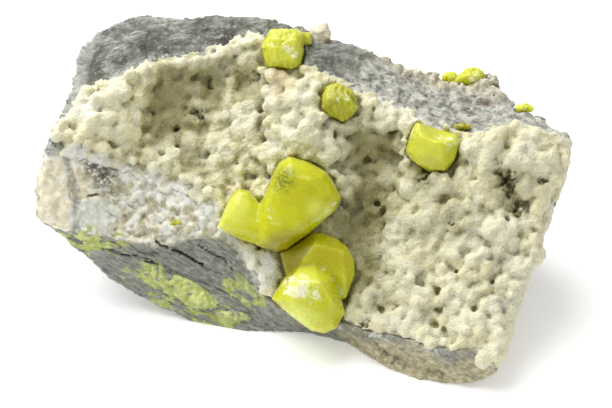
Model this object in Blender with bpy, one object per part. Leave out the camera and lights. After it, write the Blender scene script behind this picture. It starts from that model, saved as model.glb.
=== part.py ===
"""Native sulfur crystals on a block of crusted limestone: the solid model.

Run it with blender --background --python part.py, or from Blender's text editor.
The tables below are in millimetres, and the meshes are in metres, +Z up. The block
lies along X with its drusy face towards -Y, and stands on its flat base at Z = 0.
"""

import math

import bmesh
import bpy
from mathutils import Matrix, Vector, noise

MM = 0.001
GAP = 0.3  # clearance between neighbouring pieces

# ---------------------------------------------------------------- block: long edges
# Each line runs along the block as {x: (y, z)}.
FOOT = {  # lowest front edge
    -56: (-14, 18), -48: (-17, 13.5), -40: (-18.5, 8), -30: (-19.5, 2.4), -20: (-19.8, 0.3),
    -8: (-19.5, 0), 4: (-16.5, 0), 14: (-17.5, 0.6), 24: (-23, 0.6), 32: (-25, 0), 42: (-24.5, 0),
    50: (-24, 1), 56: (-21, 4),
}
LIP = {  # where the drusy face meets the broken underside
    -56: (-22, 24), -48: (-22, 22.5), -40: (-17.6, 19.5), -30: (-15.5, 17.2), -20: (-11.5, 19),
    -12: (-10.8, 15.5), -5: (-16.5, 9), 4: (-19.5, 7), 14: (-20.5, 6.8), 24: (-21.7, 7.2),
    34: (-22.8, 8.2), 44: (-23.8, 8), 52: (-23, 8.3), 56: (-21, 9.5),
}
RIDGE = {  # top of the drusy face
    -56: (5, 40.5), -48: (7, 42.5), -40: (11.5, 44), -30: (17.5, 47.2), -20: (22, 49.7),
    -12: (21, 49.2), -5: (18.3, 47), 4: (16.2, 43.7), 14: (15.9, 41.4), 26: (14.3, 38.6),
    36: (15.2, 38.6), 46: (17.6, 40), 56: (18.5, 38),
}
BACK_EDGE = {  # rear of the top face
    -56: (20, 45.5), -48: (26, 47.8), -36: (29.5, 48.7), -20: (29.3, 50), -8: (28.8, 49.8),
    4: (28.6, 47.8), 16: (27.6, 44), 30: (31, 42.2), 38: (28, 42), 48: (22.6, 39.8), 56: (20.5, 36.5),
}
BACK = {  # furthest line of the rear face
    -56: (21, 31), -44: (31, 27), -24: (34.5, 25), 0: (34, 22), 20: (34.5, 21), 36: (33, 20),
    48: (28, 20), 56: (22, 21),
}
HEEL = {  # rear edge of the base
    -56: (14, 20), -46: (22, 9), -34: (27, 2.5), -24: (27.5, 0), 0: (26, 0), 20: (27, 0),
    36: (25, 0), 46: (20, 1.5), 56: (14, 8),
}
BLOCK_ENDS = (-54.5, 55)
END_CAPS = ((-2.2, 0.84), (0.8, 0.88))  # each broken end: how far it stands out, and its size
LEAN_LENGTH = 30  # length at each end over which the sections lean
RIGHT_EDGE = {  # x of the right end at each height: it slopes in downwards, with a notch
    0: 49, 7: 50, 14: 51.5, 21: 54.5, 25: 55, 27: 52.5, 30: 56, 38: 57.5, 44: 56,
}
LEFT_CORNER = 3.5  # how far the upper front corner of the left end is set in
LEFT_CORNER_Z, LEFT_CORNER_Y = (36, 42), (24, 8)  # it sets in upwards, and towards the front
UNDERCUT_FROM, RIGHT_UNDERCUT = 17, 0.18  # slope of the right end's rear part, inwards

# ---------------------------------------------------------------- drusy crust
CRUST_ENDS = (-54.8, 55.4)
CRUST_LOW = {  # lower limit of the crust, as a share of the way from lip to ridge
    -56: 0.56, -44: 0.5, -34: 0.4, -24: 0.27, -16: 0.12, -9: 0.04, 0: 0.03, 56: 0.03,
}
CRUST_THICK = 6.5
CRUST_RIM = 1.5  # thickness at the crust's own edge
CRUST_TAPER = 6.0  # distance over which the crust reaches its full thickness
# Swells and hollows of the drusy face: (x, share up the face, spread in x, spread up, height)
RELIEF = (
    (-56, 0.50, 9, 15, 6.5),  # rounded left shoulder
    (-43, 0.84, 6, 8, 2.5),  # block at the upper left
    (-23, 0.72, 9, 14, -5.0),  # bay with draped columns
    (-3, 0.78, 6, 8, 3.0),  # swelling under the crest crystals
    (15, 0.50, 8, 16, -5.5),  # valley beside the large crystals
    (42, 0.84, 13, 10, 3.5),  # overhanging swelling at the upper right
)

# ---------------------------------------------------------------- mesh density and roughness
SECTIONS = 41
RUBBLE_ROWS, CRUST_ROWS, TOP_ROWS, BACK_ROWS, BASE_ROWS, FOOT_ROWS = 4, 17, 4, 6, 5, 3
NOISE_SEED = 5
ROCK_WAVE, ROCK_ROUGH = 11.0, 0.8
FINE_WAVE, FINE_ROUGH = 4.8, 0.4
ROUGH_ABOVE = 6  # height over the base at which the roughness is full
SCAR_WIDTH, SCAR_DEPTH = 15.0, 2.6  # dished scars where the block was broken
BLOCK_AXIS = (8, 26)  # y and z of the line the scars face away from
DOME_WIDTH, DOME_HEIGHT = 6.5, 2.6  # rounded domes of the crust
FLAT_BELOW = 0.9  # points lower than this belong to the flat base

# ---------------------------------------------------------------- crystals
# Crystals are drawn on axes that face the drusy side: u to the right, v up, w out of it.
FACE_TURN, FACE_TILT = math.radians(15), math.radians(38)
# A block of a crystal: its outline as (u, v), the levels as (w, size of the outline), and the
# corners (u, v, w) of its outermost face. The block is the convex solid round all of these.
KNOB = (
    ((-3, -1), (-2.6, 2), (-1.4, 3.6), (1, 4), (1.6, 2), (2.2, -0.6)),
    ((-3, 1), (0.5, 1)),
    ((-1, 1.6, 1.4), (0.4, 1.8, 1.3)),
)
CRUMB = (
    ((6, -2.6), (6.4, 0.8), (8.6, 0.6), (10.6, -1), (11.6, -3), (9, -4)),
    ((-3, 1), (0.6, 1)),
    ((7.6, -1, 1.5), (9.6, -1.8, 1.3)),
)
CREST = (
    ((-5.3, -3), (-5.8, 0.2), (-4.6, 2.8), (-3.9, 4.4), (2.4, 4.4), (3.7, 3.4), (3.8, -0.6),
     (3.3, -3.8), (2.4, -4.8), (-3.6, -4.8), (-4.8, -4.1)),
    ((-4, 0.8), (1, 1), (3.6, 0.92)),
    ((-3.2, 1.8, 5.4), (1.6, 1.5, 5.2), (1.8, -2.6, 5.6), (-2.6, -3, 5.8)),
)
CREST_KNOB = (
    ((2, 1), (2.4, 3.6), (5.2, 3.5), (5.6, 2.1), (5.4, 1.1)),
    ((-2, 0.9), (1.2, 1)),
    ((3.4, 2.6, 2.3), (4.6, 2.2, 2.2)),
)
NOTCH = (
    ((-4.2, -1.2), (-4, 1.8), (-2.9, 3.7), (-0.7, 4.5), (2.6, 2.8), (4.1, -0.9), (2.9, -2.8),
     (0.4, -4.2), (-2.6, -2.6)),
    ((-3, 0.75), (0.5, 1), (2.2, 0.94)),
    ((-3, 0.8, 4.2), (2.4, 0.6, 4.4), (2.6, -1.2, 4), (-2, 2.6, 3)),
)
RIGHT = (
    ((-6.3, -0.9), (-5.1, 3.8), (-4, 5.7), (-0.1, 3.8), (5.1, 2.9), (5.9, 1.2), (4.6, -2.8),
     (2.2, -5.4), (-1.3, -5.3), (-5, -2.8)),
    ((-3.5, 0.8), (1, 1), (4, 0.9)),
    ((-3.6, 2.6, 5.2), (0.6, 1.4, 6.6), (4, 1.4, 5.4), (1.2, -2.4, 6.4), (-3, -1.6, 5.6)),
)
LARGE = (
    ((-3.5, 10.7), (0.4, 9.5), (4.7, 7.3), (7, 3.6), (8, 1.4), (6.7, -1.2), (0.4, -6.9),
     (-4.1, -10), (-6.2, -10.3), (-11, -9), (-9.6, 0.8), (-7.6, 5.3), (-5.8, 9.3)),
    ((-4, 0.74), (0, 0.95), (4, 1), (7.6, 0.94), (9.6, 0.82)),
    ((-3.2, 6, 11), (1, 5.4, 11.3), (4.2, 2.2, 11), (3.6, -0.4, 11), (-1.6, -4.4, 11.4),
     (-5.4, -5, 10.8), (-5.4, 1.4, 10.8)),
)
LARGE_LOBE = (
    ((-19.4, -5.2), (-17, -0.6), (-16.6, 1.8), (-14.6, 3.6), (-12.4, 3.2), (-10, 0.4),
     (-8, -3), (-9, -9.2), (-13, -8.2)),
    ((-3, 0.8), (2.4, 1), (5.4, 0.86)),
    ((-14.4, 0.2, 7), (-11.4, -1.6, 7.6), (-10.4, -6, 8), (-14.6, -4, 6.8)),
)
LOWER_BACK = (
    ((-10, 2.2), (-5, 6), (-1.4, 6.6), (2.6, 5.2), (4.8, 3.4), (6.4, 0.4), (6.5, -2.6),
     (4.6, -8), (-2, -9), (-8.6, -3.4)),
    ((-3.5, 0.8), (1.6, 1), (4, 0.97)),
    ((-2, 4, 7), (3.6, 2.4, 6.6), (4.2, -3.6, 7.4), (-4.6, 0.4, 7)),
)
LOWER_FRONT = (
    ((-8.4, -1.2), (-5.6, 3.4), (-3, 5.6), (1.2, 5.8), (4.4, 3.8), (6.4, -0.2), (7.6, -4.2),
     (5.6, -7.6), (3, -8.7), (0.4, -8.2), (-4.4, -4.8)),
    ((-4, 0.7), (2, 0.97), (6, 1), (8.6, 0.84)),
    ((-3.4, 2, 10.6), (2, 2.6, 11), (4.6, -1.6, 11.2), (2.4, -4.4, 11), (-3.8, -1.6, 11)),
)
BACK_LEFT = (
    ((-1.8, -1.4), (-1.7, 0.4), (-0.2, 1.1), (1.4, 0.9), (2, -0.8), (0.6, -1.8)),
    ((-1.6, 0.8), (0.4, 1)),
    ((-0.6, 0, 1.6), (0.8, -0.2, 1.6)),
)
BACK_RIGHT = (
    ((1, -0.8), (2.8, 0.8), (4.2, 1.9), (6.6, 1.9), (8, 0.6), (8.2, -1.4), (5, -2.6), (0, -1.8)),
    ((-1.6, 0.8), (0.6, 1)),
    ((3.6, 0, 2.4), (6.2, 0, 2.6), (5, -1.2, 2.4)),
)
FAR = (
    ((-1.9, -1), (-1.6, 0.6), (0, 1), (1.8, 0.8), (2.1, -0.7), (0.3, -1.2)),
    ((-1.4, 0.8), (0.3, 1)),
    ((-0.8, 0, 1.3), (1, 0, 1.2)),
)
RIDGE_SPLINTER = (
    ((-2, 0.3), (0, 0.7), (2, 0.4), (1.2, -0.6), (-0.8, -0.7)),
    ((-1.2, 0.8), (0.2, 1)),
    ((-0.6, 0, 0.9), (0.8, 0, 0.9)),
)
BEAD = (
    ((-1.1, -0.4), (-0.7, 0.7), (0.4, 0.9), (1.1, 0.1), (0.6, -0.9), (-0.5, -1)),
    ((-1, 0.8), (0.3, 1)),
    ((-0.3, 0, 1.1), (0.4, 0.1, 1.1)),
)
LEFT_VEIN = (
    ((-6.6, 1.9), (-1, 1.5), (6.4, -0.4), (6.6, -1.6), (1.6, -2.2), (-2.6, -1.6)),
    ((-2.2, 0.85), (0.5, 1)),
    ((-4, 0.7, 1.2), (3.6, -0.9, 1.2), (-1, -0.8, 1.2)),
)
BASE_VEIN = (
    ((-8.4, 5.2), (-4, 5), (3.4, 1), (8.4, -2.4), (7.6, -4.2), (2, -3.4), (-3.4, -1), (-7, 2.6)),
    ((-3, 0.85), (0.4, 1)),
    ((-5.6, 3.8, 1.2), (0.6, 0.8, 1.4), (4.8, -2.6, 1.2), (-2, 0.8, 1.4)),
)
BASE_VEIN_END = (
    ((-6, 2.6), (-1, 1.6), (3.6, -1.4), (4, -2.4), (1, -2.6), (-5, 0)),
    ((-3, 0.85), (0.3, 1)),
    ((-2.4, 1, 1), (1.8, -1.6, 1)),
)
MIDDLE_VEIN = (
    ((-2.2, 2.2), (0.6, 1.6), (2.6, -1.4), (2.2, -3), (-0.4, -1.2)),
    ((-2, 0.8), (0.3, 1)),
    ((-0.6, 0.8, 0.9), (1.2, -1.2, 0.9)),
)
# name: (material, the blocks grown together, each as (seat on the host block, crystal block))
CRYSTALS = {
    "sulfur_crystal_crest": (
        "sulfur", (((-10.5, 22.7, 47.9), CREST), ((-10.5, 22.7, 47.9), CREST_KNOB))
    ),
    "sulfur_crystal_notch": ("sulfur", (((4.2, 13.4, 42), NOTCH),)),
    "sulfur_crystal_right": ("sulfur", (((26.2, 10.7, 35.8), RIGHT),)),
    "sulfur_crystal_large": (
        "sulfur", (((0.3, -2.1, 24.4), LARGE), ((0.3, -2.1, 24.4), LARGE_LOBE))
    ),
    "sulfur_crystal_lower_pair": (
        "sulfur", (((6.9, -9.6, 15.5), LOWER_BACK), ((5, -15.4, 11.2), LOWER_FRONT))
    ),
    "sulfur_crystal_back": (
        "sulfur", (((25.5, 29.4, 42.6), BACK_LEFT), ((25.5, 29.4, 42.6), BACK_RIGHT))
    ),
    "sulfur_crystal_far": ("sulfur", (((43.5, 24.5, 40.3), FAR),)),
    "sulfur_crystal_ridge": ("sulfur", (((31.4, 16.3, 38.6), RIDGE_SPLINTER),)),
    "sulfur_bead": ("sulfur", (((-26.9, -11.1, 20.3), BEAD),)),
    "sulfur_vein_left": ("vein", (((-45, -18.4, 17.5), LEFT_VEIN),)),
    "sulfur_vein_middle": ("vein", (((-10.1, -14.6, 9.2), MIDDLE_VEIN),)),
    "sulfur_vein_base": (
        "vein", (((-23.3, -17.2, 6.9), BASE_VEIN), ((-12.6, -17.4, 4), BASE_VEIN_END))
    ),
}
# Bumps of the host block itself, on its top rear edge: (seat, block)
ROCK_BUMPS = (((-3.4, 27.4, 48.5), KNOB), ((25.5, 29.4, 42.6), CRUMB))

COLOURS = {
    "rock": ((0.33, 0.33, 0.30), 0.95),
    "crust": ((0.86, 0.83, 0.68), 0.8),
    "sulfur": ((0.72, 0.68, 0.06), 0.35),
    "vein": ((0.52, 0.56, 0.22), 0.8),
}


# ================================================================ small helpers
def clear_scene():
    for thing in list(bpy.data.objects):
        bpy.data.objects.remove(thing)


def smooth(share):
    share = min(1.0, max(0.0, share))
    return share * share * (3 - 2 * share)


def ramp(value, start, end):
    """0 at start, 1 at end, and smooth in between."""
    return smooth((value - start) / (end - start))


def along(line, x):
    """Value of an edge line at x, straight between its points."""
    xs = sorted(line)
    x = min(max(x, xs[0]), xs[-1])
    for low, high in zip(xs, xs[1:]):
        if x <= high:
            share = (x - low) / (high - low)
            a, b = line[low], line[high]
            if isinstance(a, tuple):
                return tuple(p + (q - p) * share for p, q in zip(a, b))
            return a + (b - a) * share


def point(line, x):
    y, z = along(line, x)
    return Vector((x, y, z))


def material(name):
    colour, roughness = COLOURS[name]
    made = bpy.data.materials.get(name) or bpy.data.materials.new(name)
    made.use_nodes = True
    shader = made.node_tree.nodes["Principled BSDF"]
    shader.inputs["Base Color"].default_value = (*colour, 1)
    shader.inputs["Roughness"].default_value = roughness
    shader.inputs["Metallic"].default_value = 0
    made.diffuse_color = (*colour, 1)
    return made


def new_object(name, mesh_builder, material_name):
    """An object from a bmesh in millimetres, which is emptied."""
    bmesh.ops.recalc_face_normals(mesh_builder, faces=mesh_builder.faces)
    bmesh.ops.scale(mesh_builder, vec=(MM, MM, MM), verts=mesh_builder.verts)
    mesh = bpy.data.meshes.new(name)
    mesh_builder.to_mesh(mesh)
    mesh_builder.free()
    made = bpy.data.objects.new(name, mesh)
    bpy.context.scene.collection.objects.link(made)
    mesh.materials.append(material(material_name))
    return made


def evaluated_mesh(thing):
    graph = bpy.context.evaluated_depsgraph_get()
    return bpy.data.meshes.new_from_object(thing.evaluated_get(graph))


def apply_modifiers(thing):
    mesh = evaluated_mesh(thing)
    thing.modifiers.clear()
    old = thing.data
    thing.data = mesh
    bpy.data.meshes.remove(old)
    mesh.name = thing.name


def combine(thing, other, operation):
    """Boolean of thing with other, applied to thing."""
    boolean = thing.modifiers.new("boolean", "BOOLEAN")
    boolean.operation = operation
    boolean.object = other
    boolean.solver = "EXACT"
    apply_modifiers(thing)


# ================================================================ block and crust
def face_normal(x):
    rise = point(RIDGE, x) - point(LIP, x)
    return Vector((0, -rise.z, rise.y)).normalized()


def relief(x, share):
    """How far the drusy face stands out from the plane between lip and ridge."""
    height = (point(RIDGE, x) - point(LIP, x)).length
    total = 0.0
    for at_x, at_share, spread_x, spread_up, amount in RELIEF:
        across = (x - at_x) / spread_x
        up = (share - at_share) * height / spread_up
        total += amount * math.exp(-across * across - up * up)
    return total


def drusy_face(x, share):
    return point(LIP, x).lerp(point(RIDGE, x), share) + face_normal(x) * relief(x, share)


def crust_depth(x, share):
    """Thickness of the crust at a place on the drusy face, thinning towards its rim."""
    low = along(CRUST_LOW, x)
    height = (point(RIDGE, x) - point(LIP, x)).length
    to_rim = min(
        (share - low) * height, (1 - share) * height, x - CRUST_ENDS[0], CRUST_ENDS[1] - x
    )
    return CRUST_RIM + (CRUST_THICK - CRUST_RIM) * smooth(to_rim / CRUST_TAPER)


def lean(place):
    """The place in its section, shifted along the block where the ends are not square."""
    right = smooth((place.x - BLOCK_ENDS[1]) / LEAN_LENGTH + 1)
    left = smooth((BLOCK_ENDS[0] - place.x) / LEAN_LENGTH + 1)
    edge = along(RIGHT_EDGE, place.z) - max(RIGHT_EDGE.values())
    edge -= RIGHT_UNDERCUT * max(0, place.y - UNDERCUT_FROM)
    corner = LEFT_CORNER * ramp(place.z, *LEFT_CORNER_Z) * ramp(place.y, *LEFT_CORNER_Y)
    return Vector((place.x + right * edge + left * corner, place.y, place.z))


def cell_distance(place, width):
    """0 in the middle of an irregular cell of that width, rising to its borders."""
    return noise.voronoi(place / width)[0][0]


def roughen(place):
    """The place moved as a broken surface is uneven, except on the flat base."""
    if place.z < FLAT_BELOW:
        return Vector((place.x, place.y, 0))
    wavy = noise.noise_vector(place / ROCK_WAVE) * ROCK_ROUGH
    wavy += noise.noise_vector(place / FINE_WAVE) * FINE_ROUGH
    outward = Vector((0, place.y - BLOCK_AXIS[0], place.z - BLOCK_AXIS[1])).normalized()
    scar = (cell_distance(place, SCAR_WIDTH) - 0.5) * SCAR_DEPTH
    moved = place + (wavy + outward * scar) * ramp(place.z, 0, ROUGH_ABOVE)
    return Vector((moved.x, moved.y, max(moved.z, 0)))


def shares(count, low=0.0, high=1.0):
    """Evenly spaced shares from low up to but not including high."""
    return [low + (high - low) * i / count for i in range(count)]


def section_xs(ends):
    return [ends[0] + (ends[1] - ends[0]) * i / (SECTIONS - 1) for i in range(SECTIONS)]


def block_section(x):
    """Points round the block at x: broken front, crust bed, top, back and base."""
    low = along(CRUST_LOW, x)
    places = [point(FOOT, x).lerp(point(LIP, x), s) for s in shares(FOOT_ROWS)]
    places += [drusy_face(x, s) for s in shares(RUBBLE_ROWS, 0, low)]
    bed = [low + (1 - low) * i / CRUST_ROWS for i in range(CRUST_ROWS + 1)]
    places += [drusy_face(x, s) - face_normal(x) * crust_depth(x, s) for s in bed]
    corners = [places[-1], point(BACK_EDGE, x), point(BACK, x), point(HEEL, x), point(FOOT, x)]
    rows = (TOP_ROWS, BACK_ROWS // 2, BACK_ROWS // 2, BASE_ROWS)
    for start, end, count in zip(corners, corners[1:], rows):
        places += [start.lerp(end, s) for s in shares(count)[1:]] + [end]
    return [roughen(lean(p)) for p in places[:-1]]


def add_quad(builder, a, b, c, d):
    """Two triangles that share the edge from a to c."""
    builder.faces.new((a, b, c))
    builder.faces.new((a, c, d))


def bridge_rings(builder, rings):
    for first, second in zip(rings, rings[1:]):
        for i in range(len(first)):
            j = (i + 1) % len(first)
            add_quad(builder, first[i], second[i], second[j], first[j])


def cap_end(builder, ring, standing_out, size):
    """Closes an end with a smaller ring standing out from it, and a middle point."""
    centre = sum((v.co for v in ring), Vector()) / len(ring)
    inner = []
    for vertex in ring:
        place = centre.lerp(vertex.co, size)
        end_x = min(place.x, BLOCK_ENDS[0]) if standing_out < 0 else place.x
        inner.append(builder.verts.new((end_x + standing_out, place.y, place.z)))
    middle = builder.verts.new((centre.x + standing_out, centre.y, centre.z))
    bridge_rings(builder, [ring, inner])
    for i in range(len(inner)):
        builder.faces.new((inner[i], inner[(i + 1) % len(inner)], middle))


def host_rock():
    builder = bmesh.new()
    rings = [[builder.verts.new(p) for p in block_section(x)] for x in section_xs(BLOCK_ENDS)]
    bridge_rings(builder, rings)
    cap_end(builder, rings[0], *END_CAPS[0])
    cap_end(builder, rings[-1], *END_CAPS[1])
    return new_object("host_rock", builder, "rock")


def crust_grid(builder, place_at):
    return [
        [builder.verts.new(place_at(x, low_share(x, i / CRUST_ROWS))) for i in range(CRUST_ROWS + 1)]
        for x in crust_xs()
    ]


def low_share(x, share):
    low = along(CRUST_LOW, x)
    return low + (1 - low) * share


def crust_xs():
    """The block's own sections that carry crust."""
    return [x for x in section_xs(BLOCK_ENDS) if CRUST_ENDS[0] <= x <= CRUST_ENDS[1]]


def carbonate_crust():
    def back(x, share):
        bed = lean(drusy_face(x, share) - face_normal(x) * crust_depth(x, share))
        return roughen(bed) + face_normal(x) * GAP

    def front(x, share):
        outer = drusy_face(x, share)
        thick = crust_depth(x, share)
        dome = (0.5 - cell_distance(outer, DOME_WIDTH)) * DOME_HEIGHT
        swell = dome * (thick - CRUST_RIM) / CRUST_THICK
        bed = lean(outer - face_normal(x) * thick)
        return roughen(bed) + face_normal(x) * (thick + swell)

    builder = bmesh.new()
    behind, outside = crust_grid(builder, back), crust_grid(builder, front)
    columns, rows = len(behind), CRUST_ROWS + 1
    for grid in (behind, outside):
        for i in range(columns - 1):
            for j in range(rows - 1):
                add_quad(builder, grid[i][j], grid[i + 1][j], grid[i + 1][j + 1], grid[i][j + 1])
    rim = [(i, 0) for i in range(columns)] + [(columns - 1, j) for j in range(1, rows)]
    rim += [(i, rows - 1) for i in range(columns - 2, -1, -1)] + [(0, j) for j in range(rows - 2, 0, -1)]
    for (i, j), (k, m) in zip(rim, rim[1:] + rim[:1]):
        builder.faces.new((behind[i][j], behind[k][m], outside[k][m], outside[i][j]))
    return new_object("carbonate_crust", builder, "crust")


# ================================================================ crystals
def facing_axes():
    turn, tilt = FACE_TURN, FACE_TILT
    out = Vector((math.sin(turn) * math.cos(tilt), -math.cos(turn) * math.cos(tilt), math.sin(tilt)))
    right = Vector((math.cos(turn), math.sin(turn), 0))
    return right, out.cross(right), out


def block_points(block, seat):
    outline, levels, face = block
    middle = [sum(c) / len(outline) for c in zip(*outline)]
    flat = list(face)
    for height, size in levels:
        for u, v in outline:
            flat.append((middle[0] + (u - middle[0]) * size, middle[1] + (v - middle[1]) * size, height))
    right, up, out = facing_axes()
    return [Vector(seat) + right * u + up * v + out * w for u, v, w in flat]


def solid_block(name, block, seat, material_name, clearance=0.0):
    """The convex solid round a block's points, with every face moved out by the clearance."""
    builder = bmesh.new()
    for place in block_points(block, seat):
        builder.verts.new(place)
    hull = bmesh.ops.convex_hull(builder, input=builder.verts)
    inside = [v for v in hull["geom_interior"] if isinstance(v, bmesh.types.BMVert)]
    bmesh.ops.delete(builder, geom=inside, context="VERTS")
    builder.normal_update()
    moves = [v.normal * v.calc_shell_factor() * clearance for v in builder.verts]
    for vertex, move in zip(builder.verts, moves):
        vertex.co += move
    return new_object(name, builder, material_name)


def join_blocks(whole, parts, material_name):
    for seat, block in parts:
        other = solid_block("joined", block, seat, material_name)
        combine(whole, other, "UNION")
        bpy.data.objects.remove(other)


def crystal(name):
    """One solid from the blocks that have grown together."""
    material_name, parts = CRYSTALS[name]
    whole = solid_block(name, parts[0][1], parts[0][0], material_name)
    join_blocks(whole, parts[1:], material_name)
    return whole


def carve_seat(thing, crystal_name):
    """Cuts a crystal's seat out of thing, with clearance."""
    material_name, parts = CRYSTALS[crystal_name]
    for seat, block in parts:
        cutter = solid_block("seat", block, seat, material_name, GAP)
        combine(thing, cutter, "DIFFERENCE")
        bpy.data.objects.remove(cutter)


def drop_chips(thing):
    """Keeps only the largest connected body of a carved solid."""
    builder = bmesh.new()
    builder.from_mesh(thing.data)
    unseen = set(builder.verts)
    bodies = []
    while unseen:
        body, edge_of_body = set(), [unseen.pop()]
        while edge_of_body:
            vertex = edge_of_body.pop()
            body.add(vertex)
            near = {e.other_vert(vertex) for e in vertex.link_edges} & unseen
            unseen -= near
            edge_of_body += near
        bodies.append(body)
    largest = max(bodies, key=len)
    chips = [v for v in builder.verts if v not in largest]
    bmesh.ops.delete(builder, geom=chips, context="VERTS")
    builder.to_mesh(thing.data)
    builder.free()


def centre_on_base(things):
    """Moves everything so that the middle of its footprint is at X = Y = 0."""
    corners = [v.co for thing in things for v in thing.data.vertices]
    middle = [(min(c[i] for c in corners) + max(c[i] for c in corners)) / 2 for i in range(2)]
    shift = Matrix.Translation((-middle[0], -middle[1], 0))
    for thing in things:
        thing.data.transform(shift)


def main():
    clear_scene()
    noise.seed_set(NOISE_SEED)
    rock = host_rock()
    join_blocks(rock, ROCK_BUMPS, "rock")
    crust = carbonate_crust()
    made = {name: crystal(name) for name in CRYSTALS}
    carve_seat(made["sulfur_crystal_lower_pair"], "sulfur_crystal_large")
    for name in CRYSTALS:
        carve_seat(rock, name)
        carve_seat(crust, name)
    drop_chips(rock)
    drop_chips(crust)
    centre_on_base([rock, crust, *made.values()])


main()
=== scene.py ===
"""Native sulfur crystals on a crusted block of limestone: the visual model and its studio."""

import math

import bmesh
import bpy
import numpy as np
from mathutils import Matrix, Vector, noise
from mathutils.bvhtree import BVHTree


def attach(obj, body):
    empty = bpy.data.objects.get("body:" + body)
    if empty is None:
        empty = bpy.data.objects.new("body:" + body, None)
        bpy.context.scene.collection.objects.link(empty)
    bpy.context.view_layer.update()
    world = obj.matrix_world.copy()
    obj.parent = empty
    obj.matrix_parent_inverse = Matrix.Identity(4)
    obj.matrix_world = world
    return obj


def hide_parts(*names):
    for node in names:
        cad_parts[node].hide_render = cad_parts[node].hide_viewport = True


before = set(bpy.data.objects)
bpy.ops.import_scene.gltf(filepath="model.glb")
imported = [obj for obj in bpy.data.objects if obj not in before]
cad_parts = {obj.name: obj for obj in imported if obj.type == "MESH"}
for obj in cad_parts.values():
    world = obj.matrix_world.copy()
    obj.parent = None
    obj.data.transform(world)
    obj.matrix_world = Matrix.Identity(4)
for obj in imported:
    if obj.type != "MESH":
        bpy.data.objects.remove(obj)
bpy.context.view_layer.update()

# Lengths are in millimetres up to the last step of each piece, which turns them into metres.
MM = 0.001
SEED = 7

# Axes of the side that faces the viewer: to the right, up and out of it.
TURN, TILT = math.radians(15), math.radians(38)
OUT = np.array((math.sin(TURN) * math.cos(TILT), -math.cos(TURN) * math.cos(TILT), math.sin(TILT)))
RIGHT = np.array((math.cos(TURN), math.sin(TURN), 0.0))
UP = np.cross(OUT, RIGHT)
FACE_OUT = np.array((0.0, -0.66, 0.75))  # square to the drusy face
FACE_UP = np.array((0.0, 0.75, 0.66))  # from the lip of the drusy face to its ridge

# -------- camera and studio
VIEW_TARGET = (0.868, -4.397, 23.0)
VIEW_DISTANCE = 400.0
SENSOR = 36.0
LENS = 105.88
SKY = 0.56  # strength of the even white light all round
KEY_PLACE, KEY_SIZE, KEY_POWER = (-0.24, 0.08, 0.48), 0.6, 3.8  # metres, metres, watts
FLOOR_HALF = 4.0  # metres
FLOOR_WHITE, FLOOR_GLOW = 0.93, 0.26  # its reflectance, and a little light of its own

PIGMENT = 0.87  # reflectance of the whitest pigment of the specimen

# -------- crust
CRUST_VOXEL = 0.4
CRUST_TRIANGLES = 195000
BED_VOXEL = 0.7
BED_SINK = 1.3  # depth of the bed under the relief that the globules stand on
CRUST_ROOT = 1.0  # depth of its hidden side in the rock
BAY = ((-35, 3, 38), 20)  # the bay right of the shoulder: middle and reach
BAY_WALL, BAY_END, BAY_DEPTH = (-39.0, -36.5), (-22.0, -33.0), 3.4  # slopes along x at its two ends
CRUST_LEAST, BED_LEAST = 1.7, 1.1  # least thickness up to the middles of its globules, and of its bed
GREY_SPOTS = (
    (33.8, -5, 27.1), (38.2, -6.6, 24.5), (26.3, -7.4, 22.6), (45.3, -10.8, 21), (47, -18, 15.2),
)
GREY_REACH, GREY_STRENGTH = 3.5, 0.85
GLOBULE_SPACING = 1.15  # in radii
GLOBULE_TRIES, CREEP_TRIES = 14000, 6000  # random points tried on the crust, and on the rock beside it
DRAPE_STEP = 0.45  # from one globule of a hanging column to the next, in radii
FULL_THICKNESS = 3.5  # of the crust, from which its globules have their full size
OUTSIDE = {2: 1.35, 3: 1.0, 4: 0.5}  # values between the regions, by column of CRUST_REGIONS
MOUND = 8.0  # width of the mounds that the globules build up
END_WRAP = 9.0  # how far the crust reaches round the right end
BORDER_WRAP = 4.5  # how far it reaches over the rock at the lower left
RIDGE_WRAP = 3.2  # and over the ridge
CREVICE_SHADE = 1.6  # width of the painted shade in the crevice beside the crystals
# Regions of the crust: (middle, reach, globule size, length of its drapes, how far they stand out)
CRUST_REGIONS = (
    ((-47, -8, 38), 9, 2.2, 0, 0.1),  # smooth shoulder
    ((-45, 0, 41), 7, 2.2, 0, 0.2),  # block at the upper left
    ((-30, 2, 36), 9, 1.8, 1.2, 1.2),  # bay with draped columns
    ((-17, 11, 40), 8, 1.7, 1.5, 1),
    ((-18, 3, 33), 9, 2, 0.6, 1.2),  # popcorn left of the large crystal
    ((12, 2, 32), 9, 1.8, 0.5, 1),
    ((40, 5, 35), 12, 1.9, 2, 1.1),  # hanging columns
    ((38, -16, 16), 16, 1.7, 0.3, 0.6),  # flatter sugary part
)
CRUST_TAN = (((-9.5, 9.5, 45.5), 4.5, 0.7), ((-8.5, 7, 44), 4, 0.5), ((-35.5, -9, 31.5), 2, 0.5))
# White sugary border at the lower left
CRUST_BORDER = (
    ((-49, -14.5, 34), 6, 1), ((-44, -13, 31.5), 6, 1), ((-38, -11.5, 28.5), 6, 1),
    ((-33, -10.6, 26.6), 6, 1), ((-28, -10.2, 25), 6, 1), ((-19, -11, 22), 5, 0.8),
    ((-5, -18, 13.5), 8, 1.3), ((-7, -15.5, 16), 6, 1.2), ((-48, -6, 39.5), 8, 0.7),
)
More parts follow.
